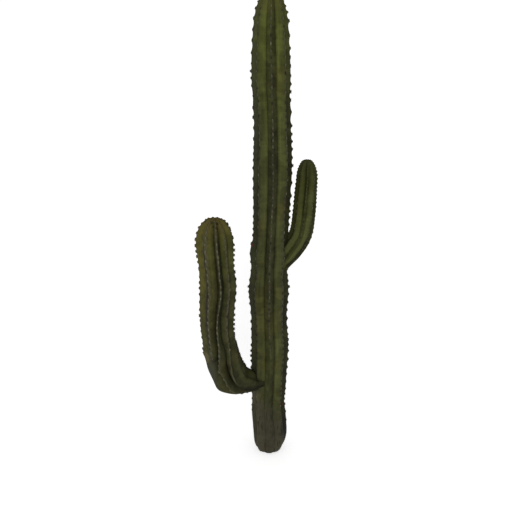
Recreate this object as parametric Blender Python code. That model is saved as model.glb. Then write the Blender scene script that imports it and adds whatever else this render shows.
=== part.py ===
"""Saguaro cactus: a tall ribbed trunk with two ribbed arms, each an elbow and an upright.

Metres, +Z up. The origin is the middle of the flat cut under the trunk, at ground level.
The side towards -Y is the front, and the large arm leaves the trunk on the -X side.
"""
import math

import bmesh
import bpy
from mathutils import Matrix, Vector

OBJECT = "saguaro cactus"
GAP = 0.0003                  # clearance between neighbouring solids

# Trunk
TRUNK_HEIGHT = 5.50
TRUNK_CRESTS = tuple(math.radians(45.0 * k - 90.0) for k in range(8))
TRUNK_GROOVE = 0.29           # groove depth as a share of the crest radius
TRUNK_BUTT_RADIUS = 0.2145    # crest radius near the ground, before the swells
TRUNK_TOP_RADIUS = 0.182      # crest radius at the tip, before the swells and the dome
FOOT_RADIUS = 0.145           # crest radius at the flat cut
FOOT_HEIGHT = 0.30            # height over which the foot draws in
FOOT_FADE = 0.75              # the grooves fill out below this height
FOOT_GROOVE = 0.10
TRUNK_DOME = 0.55             # length of the rounded tip
TRUNK_DOME_POWER = 2.8
# Growth swells and waists: height, change of radius, spread
TRUNK_SWELLS = (
    (0.43, 0.003, 0.13),
    (0.73, -0.010, 0.10),
    (1.46, 0.018, 0.46),
    (2.26, 0.031, 0.22),
    (2.74, 0.027, 0.12),
    (3.72, 0.019, 0.48),
    (4.50, -0.008, 0.08),
    (4.68, 0.016, 0.31),
)
# Sideways wander of the trunk's axis: height, shift along X
TRUNK_WANDER = ((0.0, 0.0), (0.25, 0.014), (0.7, -0.011), (1.5, 0.002), (1.9, -0.011),
                (2.45, -0.018), (3.2, 0.006), (4.0, 0.013), (4.7, -0.012), (5.5, -0.020))

# Arms. Crests are angles round the arm's axis, from the side square to the arm's bend.
# Stations are distance out from the trunk's axis, height, crest radius.
LARGE_ARM_AZIMUTH = math.radians(208.0)
LARGE_ARM_CRESTS = tuple(math.radians(a) for a in (
    -117.0, -56.0, -17.5, 11.0, 53.0, 91.0, 129.0, 167.0, 205.0))
LARGE_ARM_GROOVE = 0.24
LARGE_ARM_STATIONS = (
    (0.020, 1.060, 0.105),
    (0.220, 1.060, 0.115),
    (0.310, 1.105, 0.152),
    (0.485, 1.210, 0.200),
    (0.585, 1.386, 0.209),
    (0.646, 1.654, 0.199),
    (0.683, 1.910, 0.190),
    (0.680, 2.200, 0.197),
    (0.661, 2.500, 0.204),
    (0.676, 2.710, 0.195),
    (0.690, 2.950, 0.208),
)
LARGE_ARM_TIP = 3.277
LARGE_ARM_SPLIT = 1.56
LARGE_ARM_DOME_POWER = 2.3

SMALL_ARM_AZIMUTH = math.radians(8.0)
SMALL_ARM_CRESTS = tuple(math.radians(40.0 * k + 11.0) for k in range(9))
SMALL_ARM_GROOVE = 0.27
SMALL_ARM_STATIONS = (
    (0.000, 2.420, 0.108),
    (0.123, 2.605, 0.112),
    (0.238, 2.765, 0.134),
    (0.340, 2.942, 0.131),
    (0.374, 3.190, 0.129),
    (0.386, 3.430, 0.124),
    (0.393, 3.583, 0.117),
)
SMALL_ARM_TIP = 3.812
SMALL_ARM_SPLIT = 3.07
SMALL_ARM_DOME_POWER = 2.15

RING_STEP = 0.092             # distance between a limb's rings
DOME_RINGS = 6
# From one crest to the next: share of the way, share of the groove's depth
RIB_PROFILE = ((0.0, 0.0), (0.12, 0.10), (0.5, 1.0), (0.88, 0.10))

PARTS = bpy.data.collections.new(OBJECT)
CUTTERS = bpy.data.collections.new("cutters")


def clear_scene():
    for item in list(bpy.data.objects):
        bpy.data.objects.remove(item, do_unlink=True)


def material(name, colour, roughness):
    made = bpy.data.materials.new(name)
    made.use_nodes = True
    shader = made.node_tree.nodes["Principled BSDF"]
    shader.inputs["Base Color"].default_value = (*colour, 1.0)
    shader.inputs["Roughness"].default_value = roughness
    shader.inputs["Metallic"].default_value = 0.0
    made.diffuse_color = (*colour, 1.0)
    return made


def smooth(knots, x):
    """Smooth curve through knots (x, value...) with Catmull-Rom tangents."""
    if x <= knots[0][0]:
        return tuple(knots[0][1:])
    if x >= knots[-1][0]:
        return tuple(knots[-1][1:])
    i = max(k for k in range(len(knots) - 1) if knots[k][0] <= x)
    left, right = knots[i], knots[i + 1]
    before = knots[max(i - 1, 0)]
    after = knots[min(i + 2, len(knots) - 1)]
    span = right[0] - left[0]
    t = (x - left[0]) / span
    values = []
    for k in range(1, len(left)):
        m0 = (right[k] - before[k]) / (right[0] - before[0]) * span
        m1 = (after[k] - left[k]) / (after[0] - left[0]) * span
        values.append((2 * t**3 - 3 * t**2 + 1) * left[k] + (t**3 - 2 * t**2 + t) * m0
                      + (3 * t**2 - 2 * t**3) * right[k] + (t**3 - t**2) * m1)
    return tuple(values)


def dome(t, power):
    """Share of the full radius at share t of the dome's length."""
    return max(0.0, 1.0 - t**power)**(1.0 / power)


def trunk_radius(z):
    radius = TRUNK_BUTT_RADIUS + (TRUNK_TOP_RADIUS - TRUNK_BUTT_RADIUS) * z / TRUNK_HEIGHT
    for height, change, spread in TRUNK_SWELLS:
        radius += change * math.exp(-((z - height) / spread)**2)
    if z < FOOT_HEIGHT:
        drawn = 1.0 - math.sqrt(1.0 - (1.0 - z / FOOT_HEIGHT)**2)
        radius += (FOOT_RADIUS - radius) * drawn
    under_dome = TRUNK_HEIGHT - TRUNK_DOME
    if z > under_dome:
        radius *= dome((z - under_dome) / TRUNK_DOME, TRUNK_DOME_POWER)
    return radius


def trunk_groove(z):
    share = min(1.0, z / FOOT_FADE)
    share = share * share * (3 - 2 * share)
    return FOOT_GROOVE + (TRUNK_GROOVE - FOOT_GROOVE) * share


def trunk_rings():
    """Rings (position, axes, crest radius, groove) from the flat cut to the tip."""
    under_dome = TRUNK_HEIGHT - TRUNK_DOME
    heights = [0.0, 0.02, 0.05, 0.10]
    count = round((under_dome - FOOT_HEIGHT) / RING_STEP)
    heights += [FOOT_HEIGHT + (under_dome - FOOT_HEIGHT) * i / count for i in range(count + 1)]
    heights += [under_dome + TRUNK_DOME * math.sin(math.pi / 2 * i / DOME_RINGS)
                for i in range(1, DOME_RINGS + 1)]
    upright = Matrix.Identity(3)
    return [(Vector((smooth(TRUNK_WANDER, z)[0], 0.0, z)), upright, trunk_radius(z),
             trunk_groove(z)) for z in heights]


def arm_rings(stations, azimuth, tip, groove, power):
    """Rings of a whole arm, evenly spaced along its bent axis, with its rounded tip."""
    out = Vector((math.cos(azimuth), math.sin(azimuth), 0.0))
    knots = []
    length = 0.0
    for k, (away, height, radius) in enumerate(stations):
        if k:
            length += math.dist(stations[k - 1][:2], (away, height))
        knots.append((length, away, height, radius))
    count = round(length / RING_STEP)
    line = [smooth(knots, length * i / count) for i in range(count + 1)]
    top, full = line[-1][1], line[-1][2]
    for i in range(1, DOME_RINGS + 1):
        t = math.sin(math.pi / 2 * i / DOME_RINGS)
        line.append((line[count][0], top + (tip - top) * t, full * dome(t, power)))
    rings = []
    axes = None
    for k, (away, height, radius) in enumerate(line):
        ahead = line[min(k + 1, len(line) - 1)]
        behind = line[max(k - 1, 0)]
        along = (out * (ahead[0] - behind[0]) + Vector((0, 0, ahead[1] - behind[1]))).normalized()
        if axes is None:
            side = Vector((0, 0, 1)).cross(along).normalized()
            axes = Matrix((side, along.cross(side), along)).transposed()
        else:
            turn = axes.col[2].rotation_difference(along).to_matrix()
            axes = turn @ axes
        rings.append((out * away + Vector((0, 0, height)), axes.copy(), radius, groove))
    return rings


def loft(name, rings, crests, swell=0.0):
    """Closed ribbed solid through rings; a ring of no radius closes it as a point."""
    points = []
    for rib, crest in enumerate(crests):
        to_next = (crests[(rib + 1) % len(crests)] - crest) % (2 * math.pi)
        points += [(crest + share * to_next, depth) for share, depth in RIB_PROFILE]
    columns = len(points)
    bm = bmesh.new()
    bmesh.ops.create_grid(bm, x_segments=columns, y_segments=len(rings) - 1, size=1.0)
    for vert in bm.verts:
        column = round((vert.co.x + 1) / 2 * columns) % columns
        centre, axes, radius, groove = rings[round((vert.co.y + 1) / 2 * (len(rings) - 1))]
        angle, depth = points[column]
        reach = radius * (1 - groove * depth)
        if reach > 0.0:
            reach += swell
        vert.co = centre + axes @ Vector((math.cos(angle), math.sin(angle), 0)) * reach
    bmesh.ops.remove_doubles(bm, verts=bm.verts, dist=0.00001)
    rim = [edge for edge in bm.edges if edge.is_boundary]
    bmesh.ops.holes_fill(bm, edges=rim, sides=0)
    bmesh.ops.recalc_face_normals(bm, faces=bm.faces)
    mesh = bpy.data.meshes.new(name)
    bm.to_mesh(mesh)
    bm.free()
    mesh.shade_smooth()
    mesh.set_sharp_from_angle(angle=math.radians(40))
    return bpy.data.objects.new(name, mesh)


def split(rings, height, gap):
    """The rings below and above a cut across the limb where its axis reaches height."""
    k = max(i for i, ring in enumerate(rings) if ring[0].z < height)
    lower, upper = rings[k], rings[k + 1]

    def between(level):
        t = (level - lower[0].z) / (upper[0].z - lower[0].z)
        return (lower[0].lerp(upper[0], t), lower[1],
                lower[2] + (upper[2] - lower[2]) * t, lower[3])

    below = rings[:k + 1] + [between(height)]
    above = [between(height + gap)] + rings[k + 1:]
    return below, above


def cut(target, cutter):
    trim = target.modifiers.new("joint", "BOOLEAN")
    trim.operation = "DIFFERENCE"
    trim.solver = "EXACT"
    trim.object = cutter


def add(item, skin):
    item.data.materials.append(skin)
    PARTS.objects.link(item)
    return item


def main():
    clear_scene()
    bpy.context.scene.collection.children.link(PARTS)
    bpy.context.scene.collection.children.link(CUTTERS)
    trunk_skin = material("trunk skin", (0.062, 0.073, 0.021), 0.62)
    large_skin = material("large arm skin", (0.082, 0.077, 0.022), 0.60)
    small_skin = material("small arm skin", (0.058, 0.066, 0.018), 0.60)

    column = trunk_rings()
    add(loft("trunk", column, TRUNK_CRESTS), trunk_skin)
    sleeve = loft("trunk clearance", column, TRUNK_CRESTS, swell=2 * GAP)
    sleeve.hide_render = True
    sleeve.display_type = "WIRE"
    CUTTERS.objects.link(sleeve)

    large = arm_rings(LARGE_ARM_STATIONS, LARGE_ARM_AZIMUTH, LARGE_ARM_TIP, LARGE_ARM_GROOVE,
                      LARGE_ARM_DOME_POWER)
    elbow, upright = split(large, LARGE_ARM_SPLIT, GAP)
    cut(add(loft("large_arm_elbow", elbow, LARGE_ARM_CRESTS), large_skin), sleeve)
    add(loft("large_arm_upright", upright, LARGE_ARM_CRESTS), large_skin)

    small = arm_rings(SMALL_ARM_STATIONS, SMALL_ARM_AZIMUTH, SMALL_ARM_TIP, SMALL_ARM_GROOVE,
                      SMALL_ARM_DOME_POWER)
    elbow, upright = split(small, SMALL_ARM_SPLIT, GAP)
    cut(add(loft("small_arm_elbow", elbow, SMALL_ARM_CRESTS), small_skin), sleeve)
    add(loft("small_arm_upright", upright, SMALL_ARM_CRESTS), small_skin)


main()
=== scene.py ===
"""Skin, felt cushions and spines of a saguaro cactus, with a plain studio round it."""
import math
from types import SimpleNamespace

import bmesh
import bpy
import numpy as np
from bpy.props import FloatProperty, FloatVectorProperty, IntProperty, PointerProperty
from bpy.types import Operator, Panel, PropertyGroup
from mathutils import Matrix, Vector


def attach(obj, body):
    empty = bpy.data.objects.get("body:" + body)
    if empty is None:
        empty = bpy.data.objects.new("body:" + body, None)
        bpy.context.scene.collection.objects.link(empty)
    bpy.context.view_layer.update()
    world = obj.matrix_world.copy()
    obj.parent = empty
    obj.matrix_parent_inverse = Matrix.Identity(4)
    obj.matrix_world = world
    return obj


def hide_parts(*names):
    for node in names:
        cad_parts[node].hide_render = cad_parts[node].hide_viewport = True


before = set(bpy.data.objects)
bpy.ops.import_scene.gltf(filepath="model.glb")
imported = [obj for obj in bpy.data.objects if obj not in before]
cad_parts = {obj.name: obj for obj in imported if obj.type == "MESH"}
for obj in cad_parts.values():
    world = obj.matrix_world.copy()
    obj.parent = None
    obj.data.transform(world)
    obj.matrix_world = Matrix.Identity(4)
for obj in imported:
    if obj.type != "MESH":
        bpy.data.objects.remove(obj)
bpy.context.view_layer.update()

bl_info = {
    "name": "Saguaro cactus",
    "version": (1, 0, 0),
    "blender": (4, 5, 0),
    "location": "View3D > Sidebar > Saguaro",
    "description": "Ribbed skin, felt cushions and spines of a saguaro cactus",
    "category": "Add Mesh",
}

# ------------------------ the plant's sizes, in metres

TRUNK_HEIGHT = 5.50
TRUNK_BUTT_RADIUS = 0.2145
TRUNK_TOP_RADIUS = 0.182
TRUNK_GROOVE = 0.29
FOOT_RADIUS = 0.145
FOOT_HEIGHT = 0.30
FOOT_FADE = 0.75
FOOT_GROOVE = 0.10
TRUNK_DOME = 0.55
TRUNK_DOME_POWER = 2.8
TRUNK_CRESTS = [45.0 * k - 90.0 for k in range(8)]
# height, change of radius, spread
TRUNK_SWELLS = (
    (0.43, 0.003, 0.13),
    (0.73, -0.010, 0.10),
    (1.46, 0.018, 0.46),
    (2.26, 0.031, 0.22),
    (2.74, 0.027, 0.12),
    (3.72, 0.019, 0.48),
    (4.50, -0.008, 0.08),
    (4.68, 0.016, 0.31),
)
TRUNK_WANDER = ((0.0, 0.0), (0.25, 0.014), (0.7, -0.011), (1.5, 0.002), (1.9, -0.011),
                (2.45, -0.018), (3.2, 0.006), (4.0, 0.013), (4.7, -0.012), (5.5, -0.020))

# distance out from the trunk's axis, height, crest radius
LARGE_ARM = (
    (0.020, 1.060, 0.105),
    (0.220, 1.060, 0.115),
    (0.310, 1.105, 0.152),
    (0.485, 1.210, 0.200),
    (0.585, 1.386, 0.209),
    (0.646, 1.654, 0.199),
    (0.683, 1.910, 0.190),
    (0.680, 2.200, 0.197),
    (0.661, 2.500, 0.204),
    (0.676, 2.710, 0.195),
    (0.690, 2.950, 0.208),
)
LARGE_ARM_CRESTS = [-117.0, -56.0, -17.5, 11.0, 53.0, 91.0, 129.0, 167.0, 205.0]
SMALL_ARM = (
    (0.000, 2.420, 0.108),
    (0.123, 2.605, 0.112),
    (0.238, 2.765, 0.134),
    (0.340, 2.942, 0.131),
    (0.374, 3.190, 0.129),
    (0.386, 3.430, 0.124),
    (0.393, 3.583, 0.117),
)
SMALL_ARM_CRESTS = [40.0 * k + 11.0 for k in range(9)]

SAMPLES = 1600                # stations kept along a limb
TIP_ZONE = 0.40               # length below a tip where growth is young
TO_TIP = 9.0                  # past the end of every limb
# painted shade at an arm's root, where it meets the trunk, fades out over NECK_LENGTH
NECK_LENGTH = 0.75            # over which an arm's darker root fades
STRIP_END = 0.12              # over which a strip fades in and out
BARK_TOP = 0.62               # height and relief of the foot's bark
BARK_RELIEF = 0.0035
TRUNK_STEPS, DOME_STEPS, ARM_STEPS = 900, 300, 700
WELD = 0.00002
CUSHION_HEIGHT = 0.0038
CUSHION_ROOM = 0.073          # spacing at which cushions reach full size
PALE_CHANCE = 0.06            # of a cushion that isn't brown
# STAIN_AND_SHADE: dark old felt round a cushion, with painted shadow of its bump
STAIN_AND_SHADE = (0.0142, 0.0114, 0.0071)      # round a cushion
UP = np.array([0.0, 0.0, 1.0])
SCAR_SHAPE = np.array([1.0, 1.0, 1 / 0.55])

# What each limb has of its own. Lengths run along the limb from its root. Ribs count from 0, and
# 2.5 is the groove after the third crest. Values for single ribs are {rib: value}.
#   azimuth, tip, depth, power: way the arm leaves, height of its tip, groove depth, fullness of dome
#   rows, per_rib: grid of the skin along the limb and across one rib
#   cushion_grow, spine_grow: sizes; sunny: ribs with pale cushions, a lighter copy of the felt as
#       painted light
#   spacing, crowding: between cushions, and how much closer they stand at the tip
#   first, fade, bare: start of the cushions, over what length, start on single ribs
#   sway, dip: wander of the crests, how far the tip is pressed in
#   tubercle, bumped, paced: height of the bumps, the same and their beat on single ribs
#   skewed, toned, dark: on single ribs the groove's place, the tone (painted light and shade), the
#       share of brown cushions (higher on shaded ribs, partly as painted shade)
#   neck: painted shade at the root, where an arm meets the trunk; aged: cushions browner below; barked:
#       stained from, to, and elsewhere
#   turns: crests (all if empty), from, to, degrees of turn below
#   fades, leans, shades: rib, from, to, and below that the groove's depth, its place, the tone (painted
#       light and shade)
#   washes: rib, half width, from, to, softness, tone: painted light above 1, painted shade below 1
#   strips: rib, half width, from, to, value: below 0 painted shade in a crease or under a rib, above 0
#       a pale ribbon, crest colour with painted highlight
#   dusks, blooms: middle, reach, strength of a painted shadow or a waxy spot
#   scars, swellings: middle, reach, and how far a swelling stands out
#   bleach: towards where, from, to, sharpness of a tinted side: on the trunk painted cool shade, on the
#       large arm yellower skin
# PLAIN is what a limb has where its own table says nothing.

PLAIN = dict(
    neck=0.0, aged=0.0, foot=False, barked=(0.0, 99.0, 1.0), bleach=None,
    skewed={}, toned={}, dark={}, paced={}, bumped={}, bare={}, turns=(), fades=(), leans=(),
    shades=(), washes=(), strips=(), dusks=(), blooms=(), scars=(), swellings=(),
)

TRUNK_TRAITS = dict(
    label="trunk", rows=516, per_rib=24, cushion_grow=1.0, spine_grow=1.0, sunny=(),
    seed=11, spacing=0.082, crowding=0.62, first=0.55, fade=0.45, sway=math.radians(0.9),
    # toned: painted shade on every other rib
    dip=0.016, tubercle=1.1, aged=2.6, toned={0: 0.72, 2: 0.68, 4: 0.72, 6: 0.68},
    bare={0: 1.35, 1: 0.45, 2: 0.26, 6: 0.4}, paced={2: 0.84, 6: 0.84}, bumped={2: 1.35, 6: 1.2},
    dark={0: 0.12, 1: 0.5, 2: 0.8, 6: 0.8, 7: 0.42},
    # washes: painted light and shade along the trunk's ribs
    washes=(
        (0.6, 0.09, 0.5, TO_TIP, 0.4, 1.32), (0.97, 0.16, 0.9, TO_TIP, 0.4, 0.9),
        (7.4, 0.09, 0.5, TO_TIP, 0.4, 1.32), (7.03, 0.16, 3.0, TO_TIP, 0.4, 0.9),
        (7.06, 0.16, 0.6, 2.9, 0.4, 1.15), (6.85, 0.2, 0.3, 2.4, 0.5, 1.25),
        (6.2, 0.35, 0.3, 3.1, 0.5, 1.5), (6.2, 0.35, 0.6, 1.8, 0.4, 1.3),
        (6.22, 0.35, 4.4, TO_TIP, 0.5, 1.5), (7.68, 0.18, 0.3, 2.6, 0.4, 1.5),
        (1.3, 0.25, 0.2, 2.4, 0.4, 0.82), (0.75, 0.25, 0.9, 2.6, 0.3, 1.16),
        (0.75, 0.25, 0.9, 4.7, 0.4, 1.1), (7.25, 0.25, 4.2, TO_TIP, 0.4, 1.08),
        (0.0, 0.35, 0.9, 2.6, 0.3, 1.07), (1.75, 0.4, 1.5, 4.3, 0.5, 0.86),
        (1.75, 0.4, 4.5, TO_TIP, 0.4, 1.14), (7.78, 0.2, 3.7, TO_TIP, 0.5, 1.14),
        (0.22, 0.2, 3.7, TO_TIP, 0.5, 0.9), (7.28, 0.22, 4.0, 4.9, 0.25, 0.8),
        (7.28, 0.22, 3.5, 4.1, 0.25, 1.17), (7.28, 0.22, 2.75, 3.45, 0.25, 1.22),
        (7.28, 0.22, 1.45, 2.05, 0.25, 1.18), (7.28, 0.22, 0.95, 1.5, 0.25, 0.82),
        (0.0, 0.25, 4.6, 5.08, 0.22, 0.8), (0.0, 0.25, 3.5, 4.48, 0.25, 0.76),
        (0.0, 0.25, 2.4, 3.5, 0.3, 1.17), (0.0, 0.25, 1.2, 2.05, 0.25, 1.18),
        (0.45, 0.25, 4.45, 5.0, 0.22, 1.22), (0.45, 0.25, 2.5, 3.12, 0.22, 0.82),
        (0.45, 0.25, 2.03, 2.5, 0.2, 0.82), (1.75, 0.4, 3.4, 4.5, 0.3, 0.83),
        (6.2, 0.35, 2.3, 3.0, 0.25, 1.15), (6.82, 0.15, 1.3, 2.4, 0.3, 1.3),
    ),
    foot=True, barked=(1.6, 3.7, 0.45),
    scars=(
        ((-0.204, -0.023, 2.836), 0.014), ((0.175, -0.028, 0.674), 0.018),
        ((-0.025, -0.184, 0.116), 0.013),
    ),
    # dusks: painted shadow down the right edge of the foot and lower trunk
    dusks=(
        ((0.205, -0.03, 0.39), (0.062, 0.11, 0.19), 1.5),
        ((0.186, -0.105, 0.39), (0.034, 0.08, 0.15), 2.0),
        ((0.155, -0.15, 0.315), (0.05, 0.06, 0.035), 0.7),
        ((0.19, -0.05, 0.85), (0.05, 0.09, 0.5), 0.7),
    ),
    # bleach: painted cool shade down the trunk's left side
    bleach=((-1.0, -0.05, 0.0), 0.5, 1.0, 12.0),
)

LARGE_ARM_TRAITS = dict(
    label="large_arm", azimuth=208.0, tip=3.277, depth=0.24, power=2.3,
    rows=330, per_rib=24, cushion_grow=1.15, spine_grow=1.1, sunny=(1, 2),
    seed=23, spacing=0.078, crowding=0.45, first=0.72, fade=0.30, sway=math.radians(1.5),
    dip=0.026, tubercle=0.8, neck=0.15, skewed={1: 0.76},
    # toned: painted light and shade on single ribs
    toned={2: 0.58, 3: 1.06, 4: 1.0, 5: 0.95, 6: 0.75, 8: 0.75},
    dark={0: 0.45, 1: 0.06, 2: 0.04, 3: 0.1, 4: 0.6, 5: 0.75, 6: 0.6},
    bare={0: 0.4, 1: 0.86, 2: 0.16, 5: 0.34, 6: 0.34}, bumped={4: 1.4, 5: 1.5, 6: 1.5, 8: 1.2},
    turns=(
        ((), 0.62, 1.22, -24.0), ((2,), 0.62, 1.05, -5.5), ((3,), 0.15, 0.5, -14.0),
        ((2,), 1.2, 2.0, -7.0), ((1,), 0.85, 1.18, 12.0), ((2,), 0.7, 0.86, 15.0),
        ((2,), 0.45, 0.62, -6.0), ((1,), 1.2, 2.0, 3.0), ((5,), 0.8, 1.3, 10.0),
        ((6,), 0.8, 1.3, 24.0), ((3,), 0.68, 1.0, 6.0),
    ),
    fades=(
        (0, 0.8, 0.98, 0.12), (1, 0.85, 1.1, 1.35), (2, 0.8, 1.1, 1.45), (2, 3.0, 4.0, 1.25),
        (1, 3.0, 4.0, 1.15), (3, 0.72, 0.95, 0.25), (4, 0.95, 1.2, 0.3), (5, 0.95, 1.2, 0.35),
    ),
    leans=((2, 0.95, 1.25, 0.86), (3, 0.95, 1.4, 0.3), (4, 0.95, 1.2, 0.15)),
    # shades: painted light and shade on single ribs near the elbow
    shades=((2, 0.95, 1.5, 1.6), (5, 0.95, 1.2, 0.92), (1, 0.7, 1.0, 1.12)),
    # strips: dark ones painted shade in creases and under ribs, pale ones crest colour with painted
    # highlight
    strips=(
        (0.88, 0.09, 1.05, 2.42, -1.5), (0.78, 0.07, 1.3, 1.85, -0.9),
        (0.88, 0.05, 2.2, 2.85, -0.9), (1.02, 0.11, 0.98, 2.62, 0.9),
        (1.02, 0.15, 2.2, 2.62, 0.5), (1.2, 0.05, 1.6, 2.7, -0.55),
        (2.14, 0.08, 1.35, 3.2, -0.75), (2.0, 0.085, 0.4, 3.25, 0.95),
        (2.0, 0.15, 2.15, 2.72, 0.7), (3.02, 0.11, 0.54, 2.05, 0.95),
        (3.02, 0.11, 2.0, 2.45, 0.3), (2.62, 0.36, 0.06, 0.47, -1.8),
        (3.0, 0.14, 0.06, 0.57, -2.2), (3.18, 0.06, 0.58, 0.98, -1.6),
        (2.86, 0.13, 0.08, 0.7, -1.9), (2.86, 0.08, 0.6, 1.0, -0.8),
        (1.84, 0.12, 0.4, 1.08, -1.6),
    ),
    # washes: painted light and shade along the arm's ribs
    washes=(
        (3.4, 0.2, 0.35, 0.95, 0.12, 0.8), (3.88, 0.2, 0.4, 1.0, 0.12, 1.22),
        (3.5, 1.1, 0.95, 2.3, 0.3, 1.18), (0.2, 0.5, 0.82, 1.35, 0.2, 1.6),
        (3.3, 0.6, -0.2, 0.3, 0.12, 0.6), (1.3, 0.22, 1.85, 2.7, 0.2, 1.18),
        (0.72, 0.28, 0.92, 1.28, 0.15, 1.18), (4.85, 0.5, 0.18, 0.52, 0.1, 1.45),
    ),
    # bleach: yellower skin towards the arm's left side
    bleach=((-0.95, -0.25, 0.15), 0.9, 2.0, 1.5),
    scars=(((-0.74, -0.35, 1.55), 0.06), ((-0.7, -0.36, 3.235), 0.016)),
    # dusks: painted shadow under the end of a crest, beside the cushions at the tip and under the neck
    dusks=(
        ((-0.656, -0.478, 1.581), (0.022, 0.022, 0.014), 0.7),
        ((-0.633, -0.466, 1.589), (0.022, 0.022, 0.014), 0.8),
        ((-0.61, -0.453, 1.6), (0.022, 0.022, 0.014), 0.9),
        ((-0.628, -0.403, 3.251), (0.018, 0.018, 0.016), 0.9),
        ((-0.577, -0.395, 3.237), (0.018, 0.018, 0.016), 1.0),
        ((-0.617, -0.42, 3.215), (0.015, 0.015, 0.015), 0.8),
        ((-0.574, -0.448, 3.202), (0.018, 0.018, 0.016), 0.9),
        ((-0.705, -0.337, 3.248), (0.02, 0.02, 0.016), 0.6),
        ((-0.15, -0.18, 1.03), (0.08, 0.05, 0.03), 1.0),
    ),
    blooms=(((-0.66, -0.45, 1.43), (0.08, 0.1, 0.17), 0.9),),
    swellings=(((-0.63, -0.36, 1.1), 0.1, 0.035), ((-0.79, -0.28, 1.58), 0.09, 0.022)),
)

SMALL_ARM_TRAITS = dict(
    label="small_arm", azimuth=8.0, tip=3.812, depth=0.27, power=2.15,
    rows=240, per_rib=20, cushion_grow=0.85, spine_grow=0.85, sunny=(),
    seed=37, spacing=0.050, crowding=0.50, first=0.42, fade=0.25, sway=math.radians(0.8),
    dip=0.008, tubercle=0.85, neck=0.1, skewed={3: 0.66, 4: 0.42},
    # toned: painted light and shade on single ribs
    toned={2: 0.72, 3: 1.0, 4: 0.68, 5: 1.0, 6: 0.6, 8: 0.75}, turns=(((), 0.4, 1.9, -3.0),),
    # washes: painted light and shade along the arm's ribs, at the elbow
    washes=(
        (5.25, 0.38, 0.0, 0.85, 0.1, 0.45), (4.45, 0.24, 0.0, 0.9, 0.15, 1.45),
        (3.72, 0.22, 0.0, 0.95, 0.15, 1.5),
    ),
    # strips: painted shade along the underside of the elbow
    strips=((4.95, 0.13, 0.16, 0.68, -2.0), (5.3, 0.25, 0.4, 0.8, -1.6)),
    scars=(((0.447, -0.023, 3.713), 0.007), ((0.453, -0.043, 3.494), 0.007)),
)

# studio
FLOOR_RADIUS = 140.0
FLOOR_DROP = 0.001            # the floor lies this far under the plant's cut
WALL_BRIGHTNESS = 0.93
SUN_ANGLE = math.radians(12.0)
SUN_DISTANCE = 8.0
CAMERA_TARGET = Vector((-0.165, 0.0, 2.690))


# ------------------------ settings

def as_length(name, default, description):
    return FloatProperty(name=name, default=default, unit="LENGTH", description=description)


def as_share(name, default, low, description):
    return FloatProperty(name=name, default=default, min=low, max=0.6, subtype="FACTOR",
                         description=description)


def as_angle(name, degrees, description):
    return FloatProperty(name=name, default=math.radians(degrees), subtype="ANGLE",
                         description=description)


def as_strength(name, default, description):
    return FloatProperty(name=name, default=default, min=0.0, description=description)


def as_colour(name, default, description):
    return FloatVectorProperty(name=name, default=default, subtype="COLOR",
                               description=description)


class SkinSettings(PropertyGroup):
    """Relief of the skin."""
    tubercle: as_length("Tubercle height", 0.006, "How far the bump under each cushion stands out")
    lumps: as_length("Unevenness", 0.004, "Slow swelling and shrinking of the flanks")
    wrinkles: as_length("Wrinkles", 0.0011, "Cross folds of the flanks")
    crest_round: as_share("Crest roundness", 0.09, 0.02, "Rounding of a rib's crest")
    groove_round: as_share("Groove roundness", 0.03, 0.01, "Rounding of the groove's floor")


class CushionSettings(PropertyGroup):
    """Felt cushions on the crests and the spines that grow from them."""
    length: as_length("Cushion length", 0.038, "Length of a cushion along the rib")
    width: as_length("Cushion width", 0.015, "Width of a cushion across the rib")
    spine: as_length("Spine length", 0.013, "Length of the longest common spines")
    thickness: as_length("Spine thickness", 0.0012, "Thickness of a spine at its root")
    radials: IntProperty(name="Outer spines", default=11, min=3, max=20,
                         description="Spines lying round the edge of a cushion")
    centrals: IntProperty(name="Middle spines", default=4, min=0, max=8,
                          description="Spines standing in the middle of a cushion")


class ColourSettings(PropertyGroup):
    """Base colours of the plant."""
    trunk_young: as_colour("Trunk, upper", (0.0700, 0.0790, 0.0178), "Green of the upper trunk")
    trunk_old: as_colour("Trunk, lower", (0.0455, 0.0485, 0.0162), "Duller green of the lower trunk")
    large_young: as_colour("Large arm, upper", (0.0575, 0.0600, 0.0141), "Olive of the large arm's top")
    large_old: as_colour("Large arm, lower", (0.0310, 0.0315, 0.0116), "Olive of the large arm's elbow")
    small_young: as_colour("Small arm, upper", (0.0309, 0.0357, 0.0060), "Green of the small arm's top")
    small_old: as_colour("Small arm, lower", (0.0650, 0.0708, 0.0215), "Green of the small arm's elbow")
    cork: as_colour("Cork", (0.0460, 0.0430, 0.0252), "Grey-brown bark at the foot")
    felt: as_colour("Felt", (0.0795, 0.0767, 0.0440), "Grey-tan felt of the cushions")


class StudioSettings(PropertyGroup):
    """Camera, floor and light."""
    distance: as_length("Camera distance", 7.993, "From the camera to the point it looks at")
    tilt: as_angle("Camera tilt", 24.2, "How far the camera looks down")
    view: as_angle("Field of view", 40.0, "Angle that the camera takes in")
    key: as_strength("Key light", 1.1, "Strength of the light from the front")
    sky: as_strength("Room light", 0.48, "Strength of the even light from all round")
    glow: as_strength("Floor glow", 0.5, "Strength of the light that the floor itself gives")


# ------------------------ limbs as curves and sections

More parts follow.
